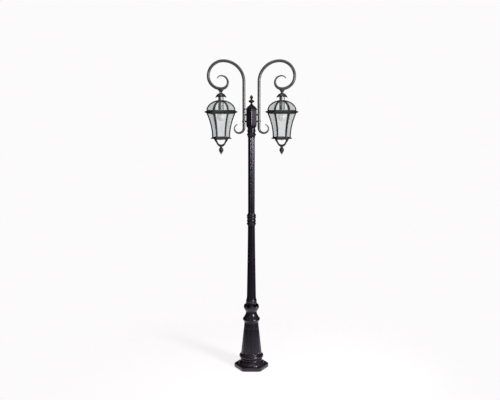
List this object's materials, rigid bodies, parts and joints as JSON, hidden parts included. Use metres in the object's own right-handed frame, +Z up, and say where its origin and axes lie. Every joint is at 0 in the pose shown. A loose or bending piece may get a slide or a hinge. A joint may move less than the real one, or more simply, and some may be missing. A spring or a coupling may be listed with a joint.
{
  "type": "street lamp post",
  "caption": "Free-standing street lamp post with a fluted pedestal, a slim ringed pole, two scrolled arms and two hanging hexagonal glass lanterns that turn and open for relamping",
  "frame": {"origin": "centre of the base plate's underside, on the post axis", "axes": "+Z up along the post, X along the two arms, -Y towards the front, where a flat edge of the base faces"},
  "size_m": [0.694, 0.232, 2.3198],
  "materials": {
    "post_paint": "satin powder coat, near black with a violet cast",
    "arm_paint": "satin graphite grey powder coat",
    "zinc_steel": "zinc plated",
    "brass": "plain turned brass",
    "clear_glass": "clear rippled glass",
    "opal": "white opal bulb glass",
    "porcelain": "glazed white porcelain",
    "flex": "matt black cable sheath"
  },
  "bodies": {
    "post": {"base_plate": "post_paint", "pedestal": "post_paint", "post_bolts": "zinc_steel", "petal_collar": "post_paint", "pole_foot_ring": "post_paint", "lower_pole": "post_paint", "mid_coupler": "post_paint", "upper_pole": "post_paint", "neck_coupler": "post_paint", "grub_screws": "zinc_steel", "head": "post_paint", "head_bracket": "zinc_steel", "terminal_block": "porcelain", "head_cap": "post_paint", "finial": "post_paint", "arm_left": "arm_paint", "arm_right": "arm_paint", "arm_spacers": "arm_paint", "wire_nipples": "brass", "arm_bolts": "zinc_steel", "head_nuts": "zinc_steel", "wire_left": "flex", "wire_right": "flex", "stems": "brass", "stem_nuts": "brass", "hanger_left": "arm_paint", "hanger_right": "arm_paint", "lampholder_left": "porcelain", "lampholder_right": "porcelain"},
    "lantern_left": {"crown_cap_left": "arm_paint", "neck_tube_left": "arm_paint", "dome_frame_left": "arm_paint", "dome_panes_left": "clear_glass", "eave_left": "arm_paint", "eave_screws_left": "zinc_steel", "body_frame_left": "arm_paint", "body_panes_left": "clear_glass", "gate_pin_left": "zinc_steel"},
    "gate_left": {"gate_left": "arm_paint", "latch_screw_left": "zinc_steel", "bottom_finial_left": "arm_paint"},
    "contact_left": {"contact_left": "brass"},
    "bulb_left": {"bulb_cap_left": "brass", "bulb_glass_left": "opal"},
    "lantern_right": {"crown_cap_right": "arm_paint", "neck_tube_right": "arm_paint", "dome_frame_right": "arm_paint", "dome_panes_right": "clear_glass", "eave_right": "arm_paint", "eave_screws_right": "zinc_steel", "body_frame_right": "arm_paint", "body_panes_right": "clear_glass", "gate_pin_right": "zinc_steel"},
    "gate_right": {"gate_right": "arm_paint", "latch_screw_right": "zinc_steel", "bottom_finial_right": "arm_paint"},
    "contact_right": {"contact_right": "brass"},
    "bulb_right": {"bulb_cap_right": "brass", "bulb_glass_right": "opal"}
  },
  "joints": [
    {"name": "lantern_turn_left", "type": "hinge", "parent": "post", "child": "lantern_left", "pos_m": [-0.223, 0, 2.07], "axis": [0, 0, 1], "continuous": true},
    {"name": "gate_swing_left", "type": "hinge", "parent": "lantern_left", "child": "gate_left", "pos_m": [-0.223, 0.062, 1.7405], "axis": [1, 0, 0], "range_deg": [0, 95]},
    {"name": "bulb_back_off_left", "type": "slide", "parent": "post", "child": "contact_left", "axis": [0, 0, -1], "range_m": [0, 0.003]},
    {"name": "bulb_turn_left", "type": "hinge", "parent": "contact_left", "child": "bulb_left", "pos_m": [-0.223, 0, 1.97], "axis": [0, 0, -1], "range_deg": [0, 297]},
    {"name": "lantern_turn_right", "type": "hinge", "parent": "post", "child": "lantern_right", "pos_m": [0.223, 0, 2.07], "axis": [0, 0, 1], "continuous": true},
    {"name": "gate_swing_right", "type": "hinge", "parent": "lantern_right", "child": "gate_right", "pos_m": [0.223, 0.062, 1.7405], "axis": [1, 0, 0], "range_deg": [0, 95]},
    {"name": "bulb_back_off_right", "type": "slide", "parent": "post", "child": "contact_right", "axis": [0, 0, -1], "range_m": [0, 0.003]},
    {"name": "bulb_turn_right", "type": "hinge", "parent": "contact_right", "child": "bulb_right", "pos_m": [0.223, 0, 1.97], "axis": [0, 0, -1], "range_deg": [0, 297]}
  ],
  "couplings": [
    {"joint": "bulb_back_off_left", "follows": "bulb_turn_left", "m_per_rad": 0.00057774},
    {"joint": "bulb_back_off_right", "follows": "bulb_turn_right", "m_per_rad": 0.00057774}
  ]
}
